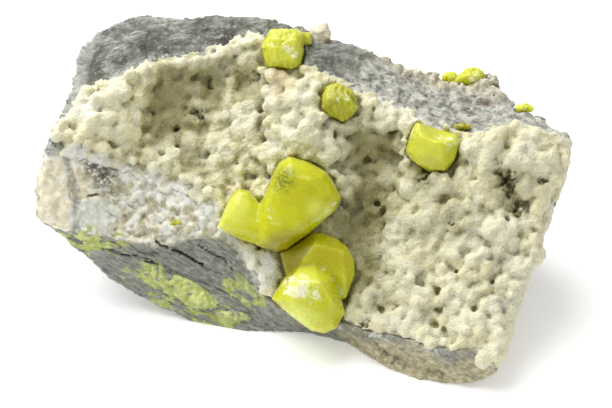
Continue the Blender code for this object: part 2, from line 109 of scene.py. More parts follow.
# Painted shade: olive darkening of the crust where it lies in shade: (middle, reach, strength)
CRUST_SHADE = (
    ((-32, 3, 37), 8, 1), ((-26, 11, 40), 7, 0.75), ((-18, 12, 41), 7, 0.6), ((14, 6, 32), 8, 0.9),
    ((15, -1, 24), 8, 1), ((13, -5, 19), 7, 1), ((-25, -4, 29), 5, 0.5), ((22, -19, 12), 5, 0.6),
    ((26, 1, 31), 5, 0.8), ((44, 1, 33), 6, 0.7), ((-12, 6, 36), 5, 0.4), ((6, 12, 39), 4, 0.5),
    ((17, -13, 14.5), 6, 0.9), ((15, -9, 17), 5, 0.9), ((27, -8, 23), 7, 0.5), ((33, -6, 25.5), 8, 0.5),
    ((40, 6, 37), 9, 0.3),
)
# Large hollows and swellings of the crust: (middle, reach, height)
CRUST_RELIEF = (
    ((-44, -3, 40.5), 9, 1.8), ((-32, 3, 37), 8, -1.4),
    ((-26, 11, 40), 5, -2.4), ((-17, 12, 41.5), 4, -1.5), ((14, 5, 31), 9, -2.6),
    ((14, -4, 21), 8, -3), ((21, -19, 12), 5, -1.2), ((44, 9, 38), 9, 1.8),
    ((44, 1, 33.5), 5, -3), ((47, -2, 29), 4, -1.6), ((26, 1, 31), 4, -1.6),
    ((-25, -4, 29), 5, -1.2), ((3, 10, 39), 6, 1),
    ((-5, -16.8, 13.8), 5.5, 2.6), ((-24, 17, 44.5), 6, -1.4), ((-14, 18.5, 46.5), 5, -1.4),
)
# Globules of the white column under the large crystal: (middle, radius)
CRUST_COLUMN = (
    ((-3.9, -15.3, 16.6), 1.8), ((-3.5, -16.8, 15), 1.9), ((-3.1, -18.5, 13.6), 2),
    ((-3.2, -19.9, 12.1), 1.8), ((-3.8, -21, 10.9), 1.5), ((-8.6, -16.2, 15), 1.6),
)
# Pits: (place, radius, depth)
CRUST_PITS = (
    ((-26, 11.8, 39.8), 0.8, 2.5), ((-27.3, 5.8, 35.7), 1.1, 3), ((-16.6, 13.8, 42.4), 1.1, 2.5),
    ((19.1, -23.1, 8.3), 1.3, 2.5), ((26.4, 1, 31.3), 1.1, 2.6), ((43.8, 1.5, 34.6), 1.7, 4),
    ((45.6, 0.6, 32), 1, 3), ((52.1, 4.4, 33.1), 1, 3.5), ((47.2, -1.1, 29), 1.5, 2.5),
    ((34, -6.4, 25.4), 0.6, 2), ((46.4, -7.9, 23.1), 0.5, 1.5), ((26, -21.3, 11.2), 0.6, 1.5),
    ((-47.7, -12.5, 36.5), 0.5, 1), ((8.5, -3.8, 23.8), 1.2, 2),
)

# -------- rock
ROCK_VOXEL = 0.45
ROCK_TRIANGLES = 190000
LAMINA = math.radians(26)  # how far the beds of the marl slope down to the right
ROCK_MIDDLE = np.array((0.0, 0.0, 25.0))
LAMINA_THICKNESS = 1.7
SHALE = ((38.5, -27.6, 8.4), 6)  # grey patch in the limestone at the lower right: middle and reach

# -------- crystals and veins
CRYSTAL_VOXEL = 0.25


# ======== mesh arrays
def gathered(rows, key, width, kind=float):
    """One property of all these rows of a mesh, as an array."""
    values = np.empty(len(rows) * width, kind)
    rows.foreach_get(key, values)
    return values.reshape(-1, width)


def get_places(mesh):
    return gathered(mesh.vertices, "co", 3)


def get_normals(mesh):
    return gathered(mesh.vertex_normals, "vector", 3)


def edges_of(mesh):
    return gathered(mesh.edges, "vertices", 2, int)


def read_mesh(mesh):
    """Vertex places and triangles of a mesh."""
    mesh.calc_loop_triangles()
    return get_places(mesh), gathered(mesh.loop_triangles, "vertices", 3, int)


def make_mesh(name, places, triangles):
    mesh = bpy.data.meshes.new(name)
    mesh.vertices.add(len(places))
    mesh.vertices.foreach_set("co", np.asarray(places, np.float32).ravel())
    mesh.loops.add(len(triangles) * 3)
    mesh.loops.foreach_set("vertex_index", np.asarray(triangles, np.int32).ravel())
    mesh.polygons.add(len(triangles))
    mesh.polygons.foreach_set("loop_start", np.arange(0, len(triangles) * 3, 3, dtype=np.int32))
    mesh.update(calc_edges=True)
    return mesh


def joined_mesh(name, parts):
    """One mesh of parts, each its places and triangles."""
    all_places, all_triangles = zip(*parts)
    starts = np.cumsum([0, *map(len, all_places)])
    triangles = [numbers + start for numbers, start in zip(all_triangles, starts)]
    return make_mesh(name, np.concatenate(all_places), np.concatenate(triangles))


def node_arrays(name):
    """A CAD node's places, in millimetres, and its triangles, with shared corners joined."""
    places, triangles = read_mesh(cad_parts[name].data)
    joined, number = np.unique(np.round(places / MM, 4), axis=0, return_inverse=True)
    return joined, number.ravel()[triangles]


def tree_of(places, triangles):
    return BVHTree.FromPolygons(places.tolist(), triangles.tolist())


def surface_tree(name):
    return tree_of(*node_arrays(name))


def distances(tree, places):
    """How far each place is from the surface in the tree."""
    return np.array([tree.find_nearest(place)[3] for place in places.tolist()])


def face_normals(places, triangles):
    a, b, c = (places[triangles[:, i]] for i in range(3))
    normals = np.cross(b - a, c - a)
    return normals / np.linalg.norm(normals, axis=1)[:, None]


def add_object(name, data):
    made = bpy.data.objects.new(name, data)
    bpy.context.scene.collection.objects.link(made)
    return made


def modified(mesh, kind, group=None, **settings):
    """A new mesh: this one after a modifier. The group is one weight for each vertex."""
    thing = add_object("work", mesh)
    modifier = thing.modifiers.new("work", kind)
    for key, value in settings.items():
        setattr(modifier, key, value)
    if group is not None:
        made = thing.vertex_groups.new(name="work")
        for level in range(1, 11):
            chosen = np.nonzero(np.round(group * 10) == level)[0]
            made.add(chosen.tolist(), level / 10, "REPLACE")
        modifier.vertex_group = "work"
    graph = bpy.context.evaluated_depsgraph_get()
    result = bpy.data.meshes.new_from_object(thing.evaluated_get(graph))
    bpy.data.objects.remove(thing)
    bpy.data.meshes.remove(mesh)
    return result


def remesh(mesh, voxel):
    return modified(mesh, "REMESH", mode="VOXEL", voxel_size=voxel, use_smooth_shade=True)


def fine_node(name, voxel):
    """A CAD node as a mesh of small triangles, in millimetres."""
    return modified(remesh(make_mesh(name, *node_arrays(name)), voxel), "TRIANGULATE")


def thinned(mesh, hidden, triangles):
    """The mesh with that many triangles, taken away where it is hidden."""
    mesh.calc_loop_triangles()
    ratio = min(1, triangles / len(mesh.loop_triangles))
    return modified(modified(mesh, "DECIMATE", hidden, ratio=ratio), "TRIANGULATE")


def set_places(mesh, places):
    mesh.vertices.foreach_set("co", np.asarray(places, np.float32).ravel())
    mesh.update()


def smoothed(places, edges, rounds, amount=0.5):
    """The places after each has moved towards the mean of its neighbours."""
    count = np.bincount(edges.ravel(), minlength=len(places))[:, None]
    for _ in range(rounds):
        total = np.zeros_like(places)
        for axis in range(3):
            total[:, axis] += np.bincount(edges[:, 0], places[edges[:, 1], axis], len(places))
            total[:, axis] += np.bincount(edges[:, 1], places[edges[:, 0], axis], len(places))
        places = places + (total / count - places) * amount
    return places


def largest_body(mesh):
    """A new mesh: the largest of the separate bodies in this one."""
    (places, triangles), edges = read_mesh(mesh), edges_of(mesh)
    bodies = np.arange(len(places))
    while True:
        lower = bodies[edges].min(1)
        joined = bodies.copy()
        for end in range(2):
            np.minimum.at(joined, edges[:, end], lower)
        joined = joined[joined]
        if (joined == bodies).all():
            break
        bodies = joined
    kept = bodies == np.bincount(bodies).argmax()
    number = np.cumsum(kept) - 1
    bpy.data.meshes.remove(mesh)
    return make_mesh("body", places[kept], number[triangles[kept[triangles[:, 0]]]])


def set_attributes(mesh, paint):
    """Numbers for each vertex, which the material reads by name."""
    for name, values in paint.items():
        made = mesh.attributes.new(name, "FLOAT", "POINT")
        made.data.foreach_set("value", np.asarray(values, np.float32))


# ======== fields
def rise(values, start, end):
    """0 at start, 1 at end and smooth in between."""
    share = np.clip((values - start) / (end - start), 0, 1)
    return share * share * (3 - 2 * share)


def waves(places, size, octaves=1, stretch=(1, 1, 1)):
    """Smooth noise from about -1 to 1, with features of that size."""
    axes = np.stack((RIGHT, UP, OUT), axis=1)
    scaled = (places @ axes) / (np.array(stretch) * size)
    if octaves == 1:
        return np.array([noise.noise(p) for p in scaled.tolist()])
    return np.array([noise.fractal(p, 1.0, 2.0, octaves) for p in scaled.tolist()])


def drift(places, size, octaves=1, shifts=(0, 40, 80)):
    """Smooth noise of that size along several axes at once."""
    return np.stack([waves(places + shift, size, octaves) for shift in shifts], axis=1)


def cells(places, size):
    """Distance to the nearest and to the second nearest centre of irregular cells."""
    found = [noise.voronoi(p)[0][:2] for p in (places / size).tolist()]
    return np.array(found).T


def dome(places, size):
    """Rounded domes of that size, from 0 in the creases between them to 1."""
    first, second = cells(places, size)
    flat = 1 - np.clip(second - first, 0, 1)
    return np.sqrt(1 - flat * flat)


def flakes(places, size):
    """Flat scales of that size, each tilted its own way."""
    found = [noise.voronoi(p)[1][0] for p in (places / size).tolist()]
    middles = np.array(found)
    tilt = np.stack([np.sin(middles @ way) for way in ((12, 7, 5), (3, 11, 8), (6, 4, 13))], axis=1)
    return np.clip(0.5 + np.einsum("ij,ij->i", places / size - middles, tilt) * 0.6, 0, 1)


def near(places, middle, radius):
    """1 at the middle, falling to 0 at the radius."""
    away = np.linalg.norm(places - np.array(middle), axis=1)
    return 1 - rise(away, 0, radius)


def spots(places, table, spread=1.0):
    """The strongest of many spots, each a middle, a reach and a strength."""
    value = np.zeros(len(places))
    for middle, reach, strength in table:
        value = np.maximum(value, near(places, middle, reach * spread) * strength)
    return value


def to_line(places, line):
    """Distance from each place to a polyline."""
    best = np.full(len(places), np.inf)
    for start, end in zip(line, line[1:]):
        start, end = np.array(start, float), np.array(end, float)
        run = end - start
        share = np.clip((places - start) @ run / (run @ run), 0, 1)
        best = np.minimum(best, np.linalg.norm(places - start - share[:, None] * run, axis=1))
    return best


def hollows(mesh, rounds):
    """How far each vertex lies under its smoothed surroundings, in millimetres."""
    places, normals = get_places(mesh), get_normals(mesh)
    return np.einsum("ij,ij->i", smoothed(places, edges_of(mesh), rounds) - places, normals)


# ======== crust
def ball_template(detail):
    builder = bmesh.new()
    bmesh.ops.create_icosphere(builder, subdivisions=detail, radius=1)
    places = np.array([v.co for v in builder.verts])
    triangles = np.array([[v.index for v in f.verts] for f in builder.faces])
    builder.free()
    return places, triangles


def region_value(places, column, base):
    """A property of the crust's regions, blended between them."""
    total, weight = np.full(len(places), base * 0.15), np.full(len(places), 0.15)
    for region in CRUST_REGIONS:
        pull = near(places, region[0], region[1] * 1.6)
        total += pull * region[column]
        weight += pull
    return total / weight


def crust_relief(places):
    """How far the crust's bed stands out from its solid, square to the drusy face."""
    mounds = dome(places + waves(places, 4.0)[:, None] * 1.2, MOUND)
    height = (mounds * 3.2 - 2.4) * (0.5 + 0.7 * region_value(places, 4, 0.5)) + waves(places, 9.0) * 0.6
    for middle, reach, amount in CRUST_RELIEF:
        height += amount * near(places, middle, reach * 1.3)
    columns = waves(places, 3.0, 2, (1, 4, 1)) * 1.5
    height += columns * np.clip(region_value(places, 3, 0.6), 0, 1.3)
    x = places[:, 0] + waves(places, 5.0) * 1.5
    bay = rise(x, *BAY_WALL) * rise(x, *BAY_END) * near(places, *BAY)
    return height - BAY_DEPTH * bay


def spread_points(places, triangles, spacing, rng, count):
    """Points over triangles, with at least the spacing that each one's own place asks for."""
    a, b, c = (places[triangles[:, i]] for i in range(3))
    area = np.linalg.norm(np.cross(b - a, c - a), axis=1)
    chosen = rng.choice(len(triangles), count, p=area / area.sum())
    u, v = rng.random(count), rng.random(count)
    flip = u + v > 1
    u[flip], v[flip] = 1 - u[flip], 1 - v[flip]
    tries = a[chosen] + (b - a)[chosen] * u[:, None] + (c - a)[chosen] * v[:, None]
    wanted = spacing(tries)
    kept = np.zeros((0, 3))
    for place, gap in zip(tries, wanted):
        away = kept - place
        if len(kept) == 0 or np.min(np.einsum("ij,ij->i", away, away)) > gap * gap:
            kept = np.vstack((kept, place))
    return kept


def draped(points, tree, rng):
    """Globules at the points, with columns of them down the face where a region has drapes."""
    size, drape, stand = (region_value(points, column, base) for column, base in OUTSIDE.items())
    thin = np.minimum(1, room_behind(tree, points) / FULL_THICKNESS)
    middles, radii = [], []
    for i, point in enumerate(points):
        radius = size[i] * (0.7 + 0.5 * rng.random()) * (0.6 + 0.4 * thin[i])
        steps = 1 + int(rng.random() ** 2 * 2.5 * drape[i] / (DRAPE_STEP * radius))
        proud = (rng.random() - 0.4) * 0.7 * stand[i] * thin[i]
        for k in range(steps):
            share = k / max(1, steps - 1)
            lobe = radius * (0.8 + 0.3 * share if steps > 1 else 1)
            nearest, _, _, away = tree.find_nearest(point - FACE_UP * k * DRAPE_STEP * radius)
            if away > 2.5:
                break
            middles.append(np.array(nearest) + FACE_OUT * (proud + 0.5 * share * thin[i]))
            radii.append(lobe)
    return np.array(middles), np.array(radii)


def budded(middles, radii, rng):
    """The globules with small buds on them."""
    buds, bud_radii = [], []
    for middle, radius in zip(middles, radii):
        for _ in range(int(2 + 3 * rng.random())):
            way = rng.normal(0, 1, 3) + FACE_OUT * 1.2
            way /= np.linalg.norm(way)
            bud = radius * (0.3 + 0.3 * rng.random())
            buds.append(middle + way * (radius - 0.5 * bud))
            bud_radii.append(bud)
    return np.concatenate((middles, buds)), np.concatenate((radii, bud_radii))


def crust_globules(places, triangles, crystals):
    """Middles and radii of the globules, from the outer side of the crust's solid."""
    rng = np.random.default_rng(SEED)
    crust = tree_of(places, triangles)
    outer = triangles[face_normals(places, triangles) @ FACE_OUT > 0.15]
    points = spread_points(
        places, outer, lambda p: GLOBULE_SPACING * region_value(p, 2, OUTSIDE[2]), rng, GLOBULE_TRIES
    )
    middles, radii = draped(points, crust, rng)
    relief = np.maximum(crust_relief(middles), CRUST_LEAST - room_behind(crust, middles))
    middles += FACE_OUT * (relief - 0.2 * radii)[:, None]
    beside, beside_radii = creep_globules(crust, rng)
    column, column_radii = zip(*CRUST_COLUMN)
    middles = np.concatenate((middles, beside, column))
    radii = np.concatenate((radii, beside_radii, column_radii))
    middles, radii = budded(middles, radii, rng)
    clear = np.min([distances(crystal, middles) for crystal in crystals], axis=0)
    keep = clear > radii * 0.75 + 0.15
    return middles[keep], radii[keep]


def creep_globules(crust, rng):
    """Globules of the crust on the rock beside it, thinning out away from the drusy face."""
    places, triangles = node_arrays("host_rock")
    normals = face_normals(places, triangles)
    x, _, z = places[triangles[:, 0]].T
    right_end = (normals[:, 0] > 0.45) & (x > 40) & (z > 6)
    left_border = (normals @ FACE_OUT > 0.2) & (x < -16) & (abs(z - 26) < 10)
    ridge = (normals[:, 2] > 0.5) & (x < 22) & (z > 38)
    rows = (  # faces, reach, spacing and size
        (right_end, END_WRAP, 1.4, 1.15),
        (left_border, BORDER_WRAP, 0.75, 0.65),
        (ridge, RIDGE_WRAP, 0.9, 0.5),
    )
    middles, all_radii = [], []
    for faces, reach, spacing, size in rows:
        points = spread_points(
            places, triangles[faces], lambda p: np.full(len(p), spacing), rng, CREEP_TRIES
        )
        away = distances(crust, points)
        keep = away < reach * (0.6 + 0.4 * rng.random(len(points)))
        radii = size * (1 + 0.8 * rng.random(len(points))) * (1 - 0.4 * away / reach)
        middles.append(points[keep] - np.array((0.5, 0, 0)))
        all_radii.append(radii[keep])
    return np.concatenate(middles), np.concatenate(all_radii)


def room_behind(tree, places):
    """Thickness of the solid behind places near its outer side."""
    starts = [tree.find_nearest(p)[0] - Vector(FACE_OUT) * 0.05 for p in places.tolist()]
    found = [tree.ray_cast(start, -FACE_OUT)[3] for start in starts]
    return np.array([1.0 if away is None else away for away in found])


def crust_bed(crust):
    """The crust's solid with its relief, sunk so that the globules stand on it."""
    bed = fine_node("carbonate_crust", BED_VOXEL)
    (places, triangles), normals = read_mesh(bed), get_normals(bed)
    bpy.data.meshes.remove(bed)
    sink = np.maximum(crust_relief(places) - BED_SINK, BED_LEAST - room_behind(crust, places))
    outward = normals @ FACE_OUT
    sink = sink * rise(outward, 0.1, 0.5) - CRUST_ROOT * rise(outward, 0.1, -0.3)
    places = places + normals * (0.4 * rise(outward, 0.6, 0.1))[:, None]
    return places + FACE_OUT * sink[:, None], triangles


def crust_body(crystals):
    """The bed and the globules joined in one body."""
    places, triangles = node_arrays("carbonate_crust")
    middles, radii = crust_globules(places, triangles, crystals)
    parts = [crust_bed(tree_of(places, triangles))]
    for detail, chosen in ((2, radii < 0.8), (3, radii >= 0.8)):
        ball, faces = ball_template(detail)
        for middle, radius in zip(middles[chosen], radii[chosen]):
            parts.append((ball * radius + middle, faces))
    return largest_body(remesh(joined_mesh("carbonate_crust", parts), CRUST_VOXEL))


def crust_mesh(crystals):
    mesh = crust_body(crystals)
    to_rock = distances(surface_tree("host_rock"), get_places(mesh))
    hidden = rise(get_normals(mesh) @ FACE_OUT, 0.0, -0.4) * rise(to_rock, 2.0, 1.4)
    mesh = thinned(mesh, hidden, CRUST_TRIANGLES)
    places = smoothed(get_places(mesh), edges_of(mesh), 2)
    places += drift(places, 2.6) * 0.3
    shifted = ragged(places)
    for middle, radius, depth in CRUST_PITS:
        places -= FACE_OUT * (depth * near(shifted, middle, radius * 1.8) ** 1.2)[:, None]
    set_places(mesh, places)
    normals = get_normals(mesh)
    grain = dome(places, 1.1) * 0.2 + waves(places, 0.8, 3) * 0.13 - 0.12
    front = rise(normals @ FACE_OUT, -0.3, 0.2)
    set_places(mesh, places + normals * (grain * front)[:, None])
    paint_crust(mesh, crystals)
    return mesh


def ragged(places):
    """The places shifted so that a round spot on them gets a ragged outline."""
    return places + drift(places, 1.5, 3) * 1.6


def paint_crust(mesh, crystals):
    """Attributes of the crust: how grey, tan and so on it is, and painted shade in its hollows, deep
    parts, pits, shaded parts and the crevices beside the crystals.
    """
    places = get_places(mesh)
    pits = [
        (np.array(middle) - FACE_OUT * depth * 0.6, radius * 1.7, 1.0)
        for middle, radius, depth in CRUST_PITS
    ]
    beside = np.full(len(places), CREVICE_SHADE)
    for crystal in crystals:
        found = [crystal.find_nearest(place, CREVICE_SHADE)[3] for place in places.tolist()]
        beside = np.minimum(beside, [CREVICE_SHADE if away is None else away for away in found])
    set_attributes(mesh, {
        # painted shade: how far each vertex lies in a small hollow, which darkens the crust there
        "hollow": hollows(mesh, 14),
        # painted shade: how far the crust lies below its wider surroundings and its relief, which darkens
        # its deep parts
        "deep": hollows(mesh, 90) - 0.9 * (crust_relief(places) + 0.6),
        # painted shade: near-black in the pits
        "pit": spots(ragged(places), pits),
        "grey": spots(places, [(middle, GREY_REACH, GREY_STRENGTH) for middle in GREY_SPOTS]),
        # painted shade: darkening of the crust where it meets the crystals
        "crevice": rise(beside + waves(places, 2.0) * 0.4, CREVICE_SHADE, 0.3),
        # painted shade: olive darkening of the shaded parts
        "olive": spots(places, CRUST_SHADE, 1.4),
        "tan": spots(places, CRUST_TAN),
        "border": spots(places, CRUST_BORDER),
    })


def finish_piece(mesh, name, nodes, look):
    """Turns the mesh into a piece of the model, in metres."""
    mesh.transform(((MM, 0, 0, 0), (0, MM, 0, 0), (0, 0, MM, 0), (0, 0, 0, 1)))
    mesh.shade_smooth()
    mesh.materials.clear()
    mesh.materials.append(look)
    piece = add_object(name, mesh)
    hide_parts(*nodes)
    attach(piece, "root")
    return piece


# ======== rock
LIP = (  # x, y and z along the edge between the drusy side and the underside
    (-55, -26.4, 24), (-47, -26.4, 22.5), (-39, -22, 19.5), (-29, -19.9, 17.2), (-19, -15.9, 19),
    (-11, -15.2, 15.5), (-4, -20.9, 9), (5, -23.9, 7), (15, -24.9, 6.8), (25, -26.1, 7.2),
    (35, -27.2, 8.2), (45, -28.2, 8), (53, -27.4, 8.3), (57, -25.4, 9.5),
)
CRACKS = (  # polyline, half width, depth
    (((-29.5, -19.6, 17.9), (-26.9, -19.6, 16.6)), 0.2, 0.9),
    (((-25.5, -19.4, 15.8), (-21.9, -18.9, 14.2), (-19.1, -19.1, 12.7)), 0.2, 1.2),
    (((-31.2, -22.1, 13.8), (-29.6, -22, 13.3)), 0.18, 0.8),
    (((-44.6, -19.8, 27.6), (-42.5, -18.4, 27.4)), 0.2, 0.6),
    (((-49.5, -26.6, 20.2), (-47.2, -25.9, 20)), 0.14, 0.5),
    (((-36.5, -23.2, 15.6), (-30.5, -21.9, 14.4), (-24.5, -21.8, 10.8)), 0.1, 0.5),
    (((-20.6, -17.2, 16.6), (-15.3, -16.9, 14.1), (-12, -18, 11.5)), 0.1, 0.5),
    (((-40.6, -23.9, 16.9), (-36.6, -23.4, 16.1)), 0.1, 0.4),
)
# Spots of the rock's colours: (middle, reach, strength)
DARK_SPOTS = (
    ((-37.5, 13.7, 45.8), 7, 1), ((-41, 12.7, 45.9), 6, 1), ((-40.1, 16.5, 46.3), 5, 0.9),
    ((-53.2, 8.3, 43), 4, 1), ((-52.3, 11.5, 44), 4, 0.9), ((-24, 21, 46.5), 8, 1),
    ((-14, 24, 47), 7, 1), ((-31, 22, 47), 6, 0.8), ((-46, 9, 44), 5, 0.5), ((-50.5, 5.5, 42), 4, 0.8),
    ((1, 18, 46), 6, 0.9), ((5, 20, 46), 5, 0.8),
)
SPECKLED = (
    ((-44.6, -14.2, 32.1), 4.5, 1), ((-42.2, -14.7, 30.1), 4, 1), ((-39.5, -16, 27.5), 2.5, 0.5),
)
WEDGE = (((-41.5, -20.3, 23.5), 5, 1), ((-44.5, -23, 24.5), 5, 1), ((-43, -22.5, 21.5), 4, 1))
CALCITE = (
    ((-18.7, -11.1, 21.9), 3.6, 1), ((-20.5, -12.5, 20.5), 2.5, 0.8), ((-27.5, -16.5, 19), 2.5, 0.7),
)
BROWN_SPOTS = (
    ((36.1, 19.7, 40.4), 1.6, 1), ((-33.2, -16.1, 21.6), 1.2, 1), ((-14.1, -5.4, 26.1), 2, 1),
    ((-23.2, -12.8, 21), 1.6, 0.9), ((24.5, 23.6, 42.6), 1.5, 0.8),
)
VEIN_STAINS = (
    ((-30.3, -22.2, 10.9), 4, 0.8), ((-26.9, -22.8, 5.4), 4.5, 1), ((-22, -23.3, 5.5), 4.5, 1),
    ((-17.5, -22.8, 3.1), 4.5, 1), ((-12.9, -23, 2), 4, 1), ((-11.2, -19.4, 9.1), 3.5, 0.9),
    ((-7.6, -20.6, 7.9), 3.5, 0.9), ((-5.8, -21.2, 7.4), 3, 0.8), ((-44, -24.7, 18.4), 5, 0.9),
    ((-50, -26, 18), 4, 0.8), ((-38, -22.6, 17.5), 4, 0.6), ((-34, -23, 10), 4, 0.5),
)
KNOB = (((-3, 23.6, 51), 4.5, 1), ((-2.5, 26, 50), 4.5, 1))
# Lines on the rock at its left end: the pale strip along the top, and the grey line down the front
BEVEL_LINE = (
    (-55.5, 16, 45), (-55.3, 10.6, 43.4), (-55, 6.1, 41.7), (-54.4, 1.8, 40.3), (-54.4, -6.3, 38.1),
)
GREY_LINE = ((-51.5, -12.5, 37.5), (-49.7, -17.3, 34.7), (-46.7, -21.9, 27.7), (-46, -25, 22))


def lip_height(x):
    xs, _, zs = zip(*LIP)
    return np.interp(x, xs, zs)


def outward_axis(places):
    """The thinnest direction through a body in the rock's surface, pointing out of the rock."""
    axis = np.linalg.svd(places - places.mean(0), full_matrices=False)[2][2]
    return axis * np.sign((places.mean(0) - ROCK_MIDDLE) @ axis)


def rock_solid():
    """The rock, with the pockets of its veins and of its bead filled."""
    parts = [node_arrays("host_rock")]
    for name, sunk in (*((vein, 0.45) for vein in VEINS), ("sulfur_bead", 1.0)):
        filler = make_mesh("filler", *node_arrays(name))
        (places, triangles), normals = read_mesh(filler), get_normals(filler)
        parts.append((places + normals * 0.5 - outward_axis(places) * sunk, triangles))
        bpy.data.meshes.remove(filler)
    return joined_mesh("host_rock", parts)


def hidden_rock(mesh, crust):
    """Where the rock is out of sight: under the crust, underneath and, by half, at the back."""
    places, normals = get_places(mesh), get_normals(mesh)
    hidden = np.zeros(len(places))
    for i, (place, outward) in enumerate(zip(places.tolist(), (normals @ FACE_OUT).tolist())):
        if outward > 0 and crust.find_nearest(place, 0.9)[0] is not None:
            hidden[i] = 1
    hidden = np.maximum(hidden, places[:, 2] < 0.2)
    return np.maximum(hidden, 0.5 * rise(normals @ OUT, -0.1, -0.4))


def rock_paint(places, normals, wobble, away, front):
    """Where each kind of rock shows, and where none does but the plain break."""
    x, y, z = places.T
    below = rise(lip_height(x) - 0.4 - z + wobble * 0.8, -0.3, 0.5) * front
    marl = below * rise(x + wobble * 2, 17, 12)
    edge = below * rise(away + wobble, 2.6, 1.2) * rise(x, 10, 16)
    marl = np.clip(marl + below * near(places, *SHALE) + edge, 0, 1)
    top = rise(normals[:, 2] + wobble * 0.1, 0.5, 0.75) * rise(z, 34, 37)
    block = (1 - below) * (1 - top) * rise(-x, 4, 9) * rise(40 - z + wobble * 2, -2, 4) * front
    block *= 1 - 0.85 * rise(-normals[:, 0] + wobble * 0.3, 0.6, 0.9)
    rubble = block * rise(x + z * 0.35 + wobble * 2.5, -35.5, -31.5)
    bevel = rise(-normals[:, 0], 0.35, 0.7) * rise(z + wobble, 33, 36) * (1 - top)
    strip = 0.4 - 0.4 * rise(to_line(places, BEVEL_LINE) + wobble * 0.8, 1.2, 2.6)
    paint = {
        "marl": marl,
        "limestone": below * (1 - marl),
        "top": top,
        "band": top * rise(x + wobble * 4, 1, 9),
        "crumb": top * rise(y + wobble * 2, 20, 24) * rise(x, 2, 12),
        "bevel": np.maximum(bevel, strip),
        "beige": block * (1 - rubble),
        "rubble": rubble,
        "sugar": block * rise(away + wobble, 6.5, 2.0),
        "rim": rise(away, 4.5, 0.6),
        "knob": spots(places, KNOB),
        "shade": spots(places, DARK_SPOTS),
        "speckle": spots(places, SPECKLED, 1.3),
        "wedge": spots(places, WEDGE, 1.2),
        "calcite": spots(places + wobble[:, None] * 1.5, CALCITE, 1.2),
        "brown": spots(places, BROWN_SPOTS),
        "stain": spots(places, VEIN_STAINS, 1.3),
        "line": 1 - rise(to_line(places, GREY_LINE) + wobble, 0.6, 1.6),
    }
    return paint, 1 - np.clip(marl + top + block, 0, 1)


def rock_push(places, wobble, paint, plain):
    """How far the rock's surface stands out: its beds, fibres, chunks, crumbs and scales."""
    bed = places @ (UP * math.cos(LAMINA) + RIGHT * math.sin(LAMINA)) + wobble * 1.2
    step = np.abs((bed / LAMINA_THICKNESS) % 1 - 0.5) * 2
    layer = (step - 0.5) * 0.5 * rise(waves(places, 4.0), -0.5, 0.4)
    fibre = waves(places, 0.8, 3, (6, 1, 1)) * 0.2
    nearest, _ = cells(places + wobble[:, None] * 0.8, 2.2)
    chunks = (0.4 - nearest) * 1.7 + waves(places, 1.1, 3) * 0.5
    holes = np.maximum(0, 0.25 - nearest) * 2.0
    crumbs = dome(places, 1.6) * 0.9 - 0.4
    gentle = waves(places, 2.2, 3) * 0.3
    coarse = waves(places, 2.6, 4) * 0.5
    scales = (flakes(places + wobble[:, None] * 0.5, 7.0) - 0.5) * 0.9
    rough = (flakes(places + wobble[:, None], 10.0) - 0.5) * 2.6 + coarse + layer * 1.2
    push = (
        paint["marl"] * (layer + fibre) + paint["top"] * (fibre * 0.6 + gentle + scales)
        + paint["rubble"] * chunks + paint["beige"] * gentle * 1.8
    )
    push += paint["band"] * (coarse * 1.4 - holes) + paint["crumb"] * crumbs
    push += paint["calcite"] * 0.9
    return push * (1 - paint["knob"]) + plain * rough


def cracks(places, normals, front):
    """How deep and how dark the rock's cracks are."""
    depth, dark = np.zeros(len(places)), np.zeros(len(places))
    wander = drift(places, 1.8, shifts=(0, 30)) * 0.4
    side = np.stack((RIGHT, UP), axis=1)
    seen = rise(normals @ OUT, 0.0, 0.3) * front
    for line, half, deepest in CRACKS:
        off = to_line(places @ side + wander, np.array(line) @ side) + waves(places, 1.0) * 0.06
        depth = np.maximum(depth, seen * deepest * (1 - rise(off, half * 0.3, half * 1.6)))
        dark = np.maximum(dark, seen * (1 - rise(off, half * 0.6, half * 1.5)))
    return depth, dark


def rock_mesh(crust):
    mesh = remesh(rock_solid(), ROCK_VOXEL)
    mesh = thinned(mesh, hidden_rock(mesh, crust), ROCK_TRIANGLES)
    places, normals = get_places(mesh), get_normals(mesh)
    wobble = waves(places, 5.0, 3)
    away = distances(crust, places)
    front = rise(-places[:, 1] + wobble * 5, -12, 3)
    paint, plain = rock_paint(places, normals, wobble, away, front)
    depth, dark = cracks(places, normals, front)
    loose = rise(places[:, 2], 0.2, 2.0) * rise(away, 0.8, 2.0)
    push = rock_push(places, wobble, paint, plain) - depth
    places = places + normals * (push * loose)[:, None]
    places[:, 2] = np.maximum(places[:, 2], 0)
    set_places(mesh, places)
    # painted shade: how far each vertex lies in a hollow, which darkens the rock there
    set_attributes(mesh, {**paint, "crack": dark, "hollow": hollows(mesh, 12)})
    return mesh


